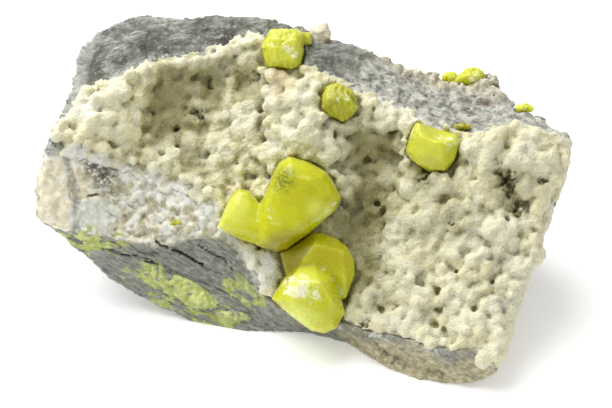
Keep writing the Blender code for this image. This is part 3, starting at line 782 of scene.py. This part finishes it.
# ======== crystals
# Parts of the crystals: (middle, reach, strength)
PALE = (
    ((-12.5, -15.5, 27), 6.5, 0.8), ((-14.8, -17, 22.2), 5, 1), ((6.4, -30.1, 13.4), 7, 0.9),
    ((-9.7, 16, 50), 9, 0.5), ((5, 8, 43), 7, 0.2), ((27, 3, 38), 8, 0.5), ((5.5, -14.9, 30.8), 3, 0.7),
    ((7.9, -13.2, 28.8), 3.5, 0.9), ((3, -19, 25), 4, 0.5), ((5.5, -26, 19), 7, 0.8),
)
# Frosted patches, partly real frosting and partly painted highlights that stand in for glints on glossy
# broken faces
FROST_AND_GLINT = (
    ((-8, 14, 51.5), 2.4, 1), ((-11.8, 14.5, 51), 2.2, 0.8), ((-6.5, 13.5, 50), 2, 1),
    ((-10.5, 12.5, 49), 2, 0.7), ((4.8, 6.4, 44.8), 2, 0.8), ((7, 7.2, 45.3), 2, 0.9),
    ((2.5, 7, 44), 1.8, 0.7), ((31, 4, 40), 3.2, 0.9), ((28.5, 4.5, 41), 2.6, 0.8),
    ((22.5, 5, 39.7), 2.6, 1),
    ((-7.1, -12.6, 27.3), 2.5, 0.8), ((-3.8, -17, 29.4), 2.6, 0.7), ((-1.7, -18.2, 28.3), 2.6, 0.6),
    ((-14.8, -17, 22.2), 3, 1), ((-12.5, -17, 25), 2, 0.7), ((7.9, -13.2, 28.8), 2, 0.9),
    ((5.7, -27.3, 19.4), 3.8, 1), ((1.8, -25.5, 18), 2.8, 0.8), ((9.2, -28, 17.9), 2.8, 1),
    ((9, -20.4, 18.9), 1.1, 0.8), ((11.3, -21.7, 17.4), 1.5, 1), ((13, -21, 13.7), 1.6, 0.8),
    ((44.5, 20, 40.5), 2, 0.8), ((29, 25, 43.5), 2, 0.5), ((32.5, 24.5, 43.8), 3.2, 0.9),
    ((3.4, -25.5, 19), 2.2, 1.2), ((5.9, -28.1, 18.6), 3.4, 1.4), ((3.6, -28, 17.8), 2.6, 1.2),
    ((9, -11.5, 29.8), 1.8, 0.9), ((6.3, -14.6, 27.8), 1.8, 0.9),
)
OLIVE = (
    ((-26, -15.4, 20.2), 3, 1),
    ((32.3, 12.2, 38.3), 5, 1), ((-9, 20, 50), 5, 0.7), ((5, 8.5, 43), 8, 0.8),
)
# Painted shade: the lower pair's facet that lies in the shade of the large crystal
SHADED_FACET = (((1.2, -18.9, 19.9), 9, 1),)
DEEP_YELLOW = (((10, -17, 20), 8, 1), ((5, -12, 32), 7, 0.4), ((28, 0.5, 35.5), 4, 0.5))
STIPPLE = (((-2.2, -12.2, 35), 4.6, 1.3),)
BROKEN = (((5.7, -27.3, 19.4), 5, 1), ((22.5, 4, 39.7), 4, 0.8), ((-15, -16, 23), 3.5, 0.7))
DENTS = (((27.6, 5.2, 42), 4.8, 1.4), ((25, 0.5, 36), 2.5, 0.5))  # middle, reach, depth
FACET_EDGE = ((6.1, -14.6, 23), (4, -20.2, 19.6))  # the lower pair's facet in shade, darkened with painted shade, lies left of it
GRAINS = ("sulfur_bead", "sulfur_crystal_far", "sulfur_crystal_ridge")
NECKS = (((-6.8, -17, 26.5), 8, 1), ((-7.5, -17.5, 22.5), 6, 1), ((-7, -14, 29), 3.5, 0.7))
RAGGED = ("sulfur_crystal_crest", "sulfur_crystal_notch", "sulfur_crystal_back", "sulfur_crystal_far",
          "sulfur_crystal_ridge", "sulfur_bead")


def crystal_mesh(name):
    """A crystal with softened edges, fine relief, and rough faces where it is broken."""
    mesh = fine_node(name, CRYSTAL_VOXEL)
    edges = edges_of(mesh)
    places = smoothed(get_places(mesh), edges, 3)
    neck = spots(places, NECKS)
    if neck.any():
        places += (smoothed(places, edges, 150) - places) * neck[:, None]
    set_places(mesh, places)
    normals = get_normals(mesh)
    broken = np.maximum(spots(places, BROKEN), 0.6 if name in RAGGED else 0.0)
    push = waves(places, 3.5, 2) * 0.12 + waves(places, 0.9, 2) * 0.02
    if name in RAGGED:
        push += (flakes(places, 4.5) - 0.5) * 0.6
    if name in GRAINS:
        push += waves(places, 0.9) * 0.5
    push += broken * (waves(places, 1.1, 2, (0.7, 2.2, 1)) * 0.32 + waves(places, 0.5) * 0.08)
    places = places + normals * push[:, None]
    for middle, reach, depth in DENTS:
        places = places - UP * (depth * near(places, middle, reach))[:, None]
    set_places(mesh, places)
    start, end = np.array(FACET_EDGE)
    across = np.cross(OUT, end - start)
    left = ((places - start) @ across) / np.linalg.norm(across)
    # painted shade on the facet left of the edge line
    facet = rise(left + waves(places, 2.0) * 0.2, 0.25, -0.25) * spots(places, SHADED_FACET)
    set_attributes(mesh, {
        "facet": np.minimum(1, facet * 2.5),
        "pale": spots(places, PALE),
        "frost": spots(places, FROST_AND_GLINT, 1.1),
        "olive": spots(places, OLIVE),
        "strong": spots(places, DEEP_YELLOW),
        "stipple": spots(places, STIPPLE),
        "broken": broken,
        "edge": -hollows(mesh, 25),
    })
    return mesh


def vein_mesh(name):
    """A vein, grown a little into the rock around it and ragged at its border."""
    mesh = fine_node(name, CRYSTAL_VOXEL)
    places = smoothed(get_places(mesh), edges_of(mesh), 2)
    set_places(mesh, places)
    rim = rise(hollows(mesh, 40), -0.1, -0.5)
    thin = outward_axis(places)
    normals = get_normals(mesh)
    sideways = normals - (normals @ thin)[:, None] * thin
    spread = 1.0 + waves(places, 3.2, 3) * 1.5
    push = waves(places, 1.2, 2) * 0.16 + waves(places, 3.0, 2) * 0.4
    places = places + sideways * spread[:, None] + normals * push[:, None]
    places[:, 2] = np.maximum(places[:, 2], 0)
    set_places(mesh, places)
    set_attributes(mesh, {"rim": rim})
    return mesh


# ======== materials
class Look:
    """A material's node tree, with lengths in millimetres."""

    def __init__(self, name, **uniform):
        self.material = bpy.data.materials.new(name)
        self.material.use_nodes = True
        self.tree = self.material.node_tree
        self.shader = self.tree.nodes["Principled BSDF"]
        for key, value in uniform.items():
            self.shader.inputs[key.replace("_", " ")].default_value = value
        place = self.node("ShaderNodeTexCoord")["Object"]
        self.place = self.node("ShaderNodeVectorMath", {0: place, "Scale": 1 / MM}, operation="SCALE")[0]

    def node(self, kind, inputs=None, **settings):
        """The outputs of a new node, whose inputs take numbers, colours or other outputs."""
        made = self.tree.nodes.new(kind)
        for key, value in settings.items():
            setattr(made, key, value)
        for key, value in (inputs or {}).items():
            self.feed(made.inputs[key], value)
        return made.outputs

    def feed(self, socket, value):
        if isinstance(value, bpy.types.NodeSocket):
            self.tree.links.new(value, socket)
        elif isinstance(value, tuple) and socket.type == "RGBA":
            socket.default_value = (*(PIGMENT * part for part in value), 1)
        else:
            socket.default_value = value

    def maths(self, operation, first, second=0.0):
        return self.node("ShaderNodeMath", {0: first, 1: second}, operation=operation)[0]

    def attribute(self, name):
        return self.node("ShaderNodeAttribute", attribute_name=name)["Fac"]

    def stretched(self, lengths, slope=0.0):
        """The place drawn out along axes of the front, the first sloping down to the right."""
        along = RIGHT * math.cos(slope) - UP * math.sin(slope)
        turn = Matrix((along, np.cross(OUT, along), OUT)).transposed().to_euler()
        inputs = {"Vector": self.place, "Rotation": turn, "Scale": lengths}
        return self.node("ShaderNodeMapping", inputs, vector_type="TEXTURE")[0]

    def bent(self, size):
        """The place pushed about by noise of that size."""
        shift = self.node("ShaderNodeTexNoise", {"Vector": self.place, "Scale": 1 / size})["Color"]
        shift = self.node("ShaderNodeVectorMath", {0: shift, "Scale": size}, operation="SCALE")[0]
        return self.node("ShaderNodeVectorMath", {0: self.place, 1: shift}, operation="ADD")[0]

    def noise(self, size, detail=3.0, roughness=0.6, at=None):
        inputs = {"Vector": at or self.place, "Scale": 1 / size, "Detail": detail, "Roughness": roughness}
        return self.node("ShaderNodeTexNoise", inputs)["Fac"]

    def cells(self, size, output="Distance", at=None):
        """Distance to the middle of each irregular cell, or, as Color, a random number for each."""
        return self.node("ShaderNodeTexVoronoi", {"Vector": at or self.place, "Scale": 1 / size})[output]

    def remap(self, value, low, high, to_low=0.0, to_high=1.0):
        inputs = {"Value": value, "From Min": low, "From Max": high, "To Min": to_low, "To Max": to_high}
        return self.node("ShaderNodeMapRange", inputs, interpolation_type="SMOOTHSTEP")[0]

    def speckled(self, size, low, high, top=1.0, at=None):
        """Flecks of noise from 0 to the top value."""
        return self.remap(self.noise(size, 4, 0.65, at), low, high, 0, top)

    def painted(self, name, *patterns):
        """An attribute times patterns."""
        share = self.attribute(name)
        for pattern in patterns:
            share = self.maths("MULTIPLY", share, pattern)
        return share

    def mix(self, share, first, second):
        return self.node("ShaderNodeMix", {0: share, 6: first, 7: second}, data_type="RGBA")[2]

    def coated(self, colour, *coats):
        """The colour under coats, each a share and a colour."""
        for share, coat in coats:
            colour = self.mix(share, colour, coat)
        return colour

    def marl_colour(self):
        beds = self.noise(0.4, 6, 0.75, self.stretched((5, 1, 2), LAMINA))
        thin = self.speckled(1.2, 0.58, 0.66, 0.7, self.stretched((4, 1, 1), LAMINA))
        pale = self.speckled(2.5, 0.56, 0.66, 0.5, self.stretched((2, 1, 1), LAMINA))
        return self.coated(
            self.mix(self.remap(beds, 0.36, 0.64), (0.16, 0.165, 0.145), (0.42, 0.43, 0.375)),
            (self.speckled(0.5, 0.58, 0.7, 0.6), (0.6, 0.61, 0.55)),
            (thin, (0.06, 0.06, 0.05)),
            (pale, (0.55, 0.56, 0.49)),
        )

    def vein_colour(self):
        vein = self.mix(self.speckled(1.6, 0.4, 0.65), (0.5, 0.56, 0.15), (0.74, 0.81, 0.33))
        return self.mix(self.speckled(3.0, 0.52, 0.64, 0.5), vein, (0.28, 0.31, 0.08))

    def streaks(self):
        """Streaks of the veins in the marl."""
        return self.speckled(2.2, 0.44, 0.54, at=self.stretched((2.2, 1, 1), LAMINA))

    def finish(self, colour, height, distance, roughness=None):
        inputs = {"Strength": 1, "Distance": distance * MM, "Height": height}
        self.feed(self.shader.inputs["Normal"], self.node("ShaderNodeBump", inputs)["Normal"])
        self.feed(self.shader.inputs["Base Color"], colour)
        if roughness is not None:
            self.feed(self.shader.inputs["Roughness"], roughness)
        return self.material


def crust_look():
    look = Look(
        "crust", Roughness=0.65, Subsurface_Weight=0.7, Subsurface_Scale=0.0012,
        Subsurface_Radius=(1.0, 0.9, 0.6),
    )
    remap, speckled, attribute = look.remap, look.speckled, look.attribute
    colour = look.coated(
        look.mix(remap(look.noise(9), 0.4, 0.65), (0.88, 0.85, 0.64), (0.84, 0.79, 0.5)),
        (remap(look.noise(2.2, 4), 0.5, 0.7, 0, 0.5), (0.92, 0.9, 0.78)),
        (remap(attribute("border"), 0.2, 0.8), (0.92, 0.92, 0.84)),
        (attribute("tan"), (0.82, 0.66, 0.36)),
        (look.painted("grey", speckled(1.5, 0.3, 0.55)), (0.42, 0.41, 0.35)),
        # painted shade: olive darkening of the shaded parts
        (remap(attribute("olive"), 0.0, 0.9, 0, 0.8), (0.38, 0.35, 0.16)),
        # painted shade in the deep parts
        (remap(attribute("deep"), 0.2, 2.4, 0, 0.75), (0.42, 0.38, 0.17)),
        # painted shade in the small hollows
        (remap(attribute("hollow"), 0.05, 0.6, 0, 0.85), (0.36, 0.31, 0.11)),
        # painted glints: tiny white points that stand in for the sparkle of the sugary grain
        (speckled(0.45, 0.62, 0.7, 0.8), (0.98, 0.98, 0.94)),
        # painted shade in the crevices beside the crystals
        (look.painted("crevice", speckled(3.5, 0.42, 0.58, 0.75)), (0.26, 0.2, 0.06)),
        # painted shade in the pits
        (attribute("pit"), (0.05, 0.035, 0.015)),
    )
    return look.finish(colour, look.maths("ADD", look.noise(0.5, 4, 0.7), look.cells(0.5)), 0.26)


def rock_look():
    look = Look("rock", Roughness=0.85)
    mix, remap, speckled, attribute = look.mix, look.remap, look.speckled, look.attribute
    fine = look.noise(0.5, 5, 0.7)
    fibres = look.noise(0.4, 5, 0.7, look.stretched((6, 1, 1)))
    beds = look.noise(0.5, 5, 0.7, look.stretched((9, 1, 3), LAMINA))
    winding = look.noise(16, 3, 0.5, look.stretched((2, 1, 1), -0.6))
    middle = look.maths("ABSOLUTE", look.maths("SUBTRACT", winding, 0.5))
    veinlet = look.maths("MULTIPLY", remap(middle, 0.007, 0.003, 0, 0.8), speckled(8, 0.45, 0.52))
    plain = look.coated(
        mix(remap(look.noise(5, 5, 0.65), 0.42, 0.6), (0.42, 0.38, 0.28), (0.24, 0.245, 0.22)),
        (remap(beds, 0.42, 0.6, 0, 0.6), (0.16, 0.16, 0.14)),
        (remap(fine, 0.45, 0.65, 0, 0.6), (0.58, 0.55, 0.45)),
        (speckled(7, 0.56, 0.64, 0.7), (0.6, 0.54, 0.4)),
        (veinlet, (0.75, 0.74, 0.68)),
    )
    patches = look.noise(0.8, 6, 0.8, look.stretched((3, 1, 1), -0.2))
    top = look.coated(
        mix(remap(patches, 0.38, 0.62), (0.14, 0.145, 0.125), (0.5, 0.51, 0.45)),
        (speckled(5, 0.5, 0.6, 0.75), (0.12, 0.12, 0.095)),
        (speckled(3, 0.56, 0.66, 0.5), (0.6, 0.61, 0.55)),
        (look.painted("shade", speckled(1.8, 0.34, 0.52)), (0.055, 0.055, 0.035)),
        (speckled(0.9, 0.62, 0.72, 0.6), (0.62, 0.62, 0.56)),
    )
    patches = look.noise(1.2, 6, 0.8, look.stretched((2.2, 1, 1), 0.4))
    crumb = mix(speckled(1.2, 0.4, 0.6), (0.5, 0.44, 0.29), (0.86, 0.82, 0.66))
    band = look.coated(
        mix(remap(patches, 0.38, 0.6), (0.2, 0.2, 0.17), (0.6, 0.6, 0.53)),
        (speckled(2.2, 0.52, 0.6, 0.7), (0.76, 0.74, 0.63)),
        (attribute("crumb"), crumb),
        (remap(look.cells(2.4), 0.16, 0.08), (0.1, 0.075, 0.05)),
    )
    bevel = mix(remap(fibres, 0.35, 0.65), (0.42, 0.43, 0.38), (0.7, 0.71, 0.65))
    beige = mix(speckled(1.6, 0.35, 0.65), (0.8, 0.71, 0.49), (1.04, 0.98, 0.76))
    beige = mix(speckled(2.2, 0.54, 0.64), beige, (1.04, 1.01, 0.88))
    chance = look.cells(1.3, "Color", look.bent(0.8))
    chunks = look.coated(
        mix(remap(chance, 0.35, 0.45), (0.62, 0.56, 0.38), (0.88, 0.82, 0.6)),
        (remap(chance, 0.5, 0.6), (0.94, 0.94, 0.84)),
        (speckled(0.8, 0.5, 0.66, 0.7), (0.5, 0.5, 0.42)),
        (speckled(1.1, 0.56, 0.66, 0.9), (0.98, 0.98, 0.9)),
    )
    wedge = mix(speckled(1.2, 0.35, 0.65), (0.76, 0.76, 0.65), (1.0, 1.01, 0.9))
    sugar = mix(speckled(0.7, 0.4, 0.6), (0.7, 0.7, 0.63), (1.0, 1.0, 0.94))
    lime = mix(speckled(1.2, 0.35, 0.65), (0.44, 0.38, 0.22), (0.74, 0.69, 0.47))
    lime = mix(remap(beds, 0.52, 0.62, 0, 0.6), lime, (0.28, 0.24, 0.16))
    dust = look.painted("rim", speckled(0.9, 0.42, 0.58), speckled(4.5, 0.46, 0.58))
    colour = look.coated(
        plain,
        (attribute("top"), top),
        (attribute("band"), band),
        (attribute("bevel"), bevel),
        (attribute("beige"), beige),
        (attribute("rubble"), chunks),
        (remap(attribute("wedge"), 0.25, 0.4), wedge),
        (look.painted("sugar", speckled(2.0, 0.3, 0.45)), sugar),
        (look.painted("line", speckled(0.8, 0.3, 0.6, 0.8)), (0.24, 0.25, 0.22)),
        (look.painted("speckle", speckled(0.9, 0.4, 0.52)), (0.09, 0.095, 0.08)),
        (remap(attribute("calcite"), 0.2, 0.45), (0.9, 0.9, 0.86)),
        (attribute("marl"), look.marl_colour()),
        (attribute("limestone"), lime),
        (remap(attribute("knob"), 0.1, 0.5), beige),
        (remap(look.painted("stain", look.streaks()), 0.12, 0.35), look.vein_colour()),
        (dust, (0.83, 0.82, 0.76)),
        (attribute("brown"), (0.16, 0.09, 0.045)),
        # painted shade in the rock's hollows
        (remap(attribute("hollow"), 0.1, 0.6, 0, 0.5), (0.1, 0.095, 0.075)),
        (attribute("crack"), (0.015, 0.015, 0.013)),
    )
    return look.finish(colour, look.maths("ADD", fine, fibres), 0.22)


def sulfur_look():
    look = Look(
        "sulfur", Roughness=0.3, IOR=1.5, Specular_IOR_Level=0.4, Subsurface_Weight=0.9,
        Subsurface_Scale=0.0018, Subsurface_Radius=(1.0, 0.95, 0.2), Transmission_Weight=0.15,
    )
    remap, speckled, attribute = look.remap, look.speckled, look.attribute
    grain = look.noise(0.9, 5, 0.75, look.stretched((1.8, 1, 1), 0.3))
    frost_and_glint_smears = look.maths("ADD", attribute("frost"), look.maths("MULTIPLY", grain, 4.0))
    colour = look.coated(
        look.mix(remap(look.noise(3.5, 4), 0.35, 0.65), (0.68, 0.69, 0.003), (0.72, 0.74, 0.012)),
        (attribute("strong"), (0.61, 0.57, 0.002)),
        (attribute("pale"), (0.93, 0.99, 0.19)),
        (remap(attribute("edge"), 0.02, 0.3, 0, 0.5), (0.93, 0.97, 0.22)),
        (look.painted("olive", speckled(3, 0.2, 0.5)), (0.36, 0.34, 0.004)),
        # painted shade on the facet in shade
        (attribute("facet"), (0.43, 0.39, 0.004)),
        (look.painted("stipple", speckled(0.45, 0.42, 0.52, 0.9)), (0.24, 0.26, 0.01)),
        (speckled(0.35, 0.64, 0.7, 0.6), (0.95, 0.97, 0.5)),
        (speckled(1.2, 0.62, 0.74, 0.35), (0.92, 0.95, 0.34)),
        # frosted patches, and painted highlights for glints on glossy broken faces
        (remap(frost_and_glint_smears, 2.55, 3.1, 0, 0.9), (1.08, 1.12, 0.84)),
    )
    rough = remap(look.noise(0.8, 4), 0.4, 0.7, 0.14, 0.4)
    height = look.maths("ADD", look.noise(0.5, 3), look.painted("broken", look.cells(0.9), 2.5))
    return look.finish(colour, height, 0.05, rough)


def vein_look():
    look = Look("vein", Roughness=0.75)
    hidden = look.maths("MAXIMUM", look.attribute("rim"), look.speckled(2.4, 0.59, 0.65))
    colour = look.mix(hidden, look.vein_colour(), look.marl_colour())
    return look.finish(colour, look.noise(0.5, 4), 0.25)


# ======== studio
def point_at(thing, target):
    thing.rotation_euler = (Vector(target) - thing.location).to_track_quat("-Z", "Y").to_euler()


def add_camera():
    data = bpy.data.cameras.new("camera")
    data.sensor_width = SENSOR
    data.lens = LENS
    data.clip_start = 0.01
    camera = add_object("camera", data)
    target = Vector(VIEW_TARGET) * MM
    camera.location = target + Vector(OUT) * VIEW_DISTANCE * MM
    point_at(camera, target)
    bpy.context.scene.camera = camera


def add_light():
    data = bpy.data.lights.new("key", "AREA")
    data.shape = "DISK"
    data.size = KEY_SIZE
    data.energy = KEY_POWER
    light = add_object("key", data)
    light.location = KEY_PLACE
    point_at(light, (0, 0, 0.02))


def add_studio():
    world = bpy.data.worlds.new("studio")
    world.use_nodes = True
    background = world.node_tree.nodes["Background"]
    background.inputs["Color"].default_value = (1, 1, 1, 1)
    background.inputs["Strength"].default_value = SKY
    bpy.context.scene.world = world
    add_light()
    corners = np.array(((-1, -1, 0), (1, -1, 0), (1, 1, 0), (-1, 1, 0))) * FLOOR_HALF
    floor_mesh = make_mesh("floor", corners, ((0, 1, 2), (0, 2, 3)))
    paper = Look(
        "paper", Base_Color=(FLOOR_WHITE, FLOOR_WHITE, FLOOR_WHITE, 1), Roughness=0.9,
        Emission_Color=(1, 1, 1, 1), Emission_Strength=FLOOR_GLOW,
    )
    floor_mesh.materials.append(paper.material)
    floor = add_object("floor", floor_mesh)
    bpy.context.scene.view_settings.view_transform = "Standard"


# ======== the model
CRYSTALS = (
    "sulfur_crystal_crest", "sulfur_crystal_notch", "sulfur_crystal_right", "sulfur_crystal_large",
    "sulfur_crystal_lower_pair", "sulfur_crystal_back", "sulfur_crystal_far", "sulfur_crystal_ridge",
    "sulfur_bead",
)
VEINS = ("sulfur_vein_left", "sulfur_vein_middle", "sulfur_vein_base")


def main():
    noise.seed_set(SEED)
    crystals = [surface_tree(name) for name in CRYSTALS]
    crust = crust_mesh(crystals)
    finish_piece(crust, "crust", ["carbonate_crust"], crust_look())
    finish_piece(rock_mesh(surface_tree("carbonate_crust")), "rock", ["host_rock"], rock_look())
    sulfur, vein = sulfur_look(), vein_look()
    for name in CRYSTALS:
        finish_piece(crystal_mesh(name), name.replace("sulfur_", ""), [name], sulfur)
    for name in VEINS:
        finish_piece(vein_mesh(name), name.replace("sulfur_", ""), [name], vein)
    add_camera()
    add_studio()


main()
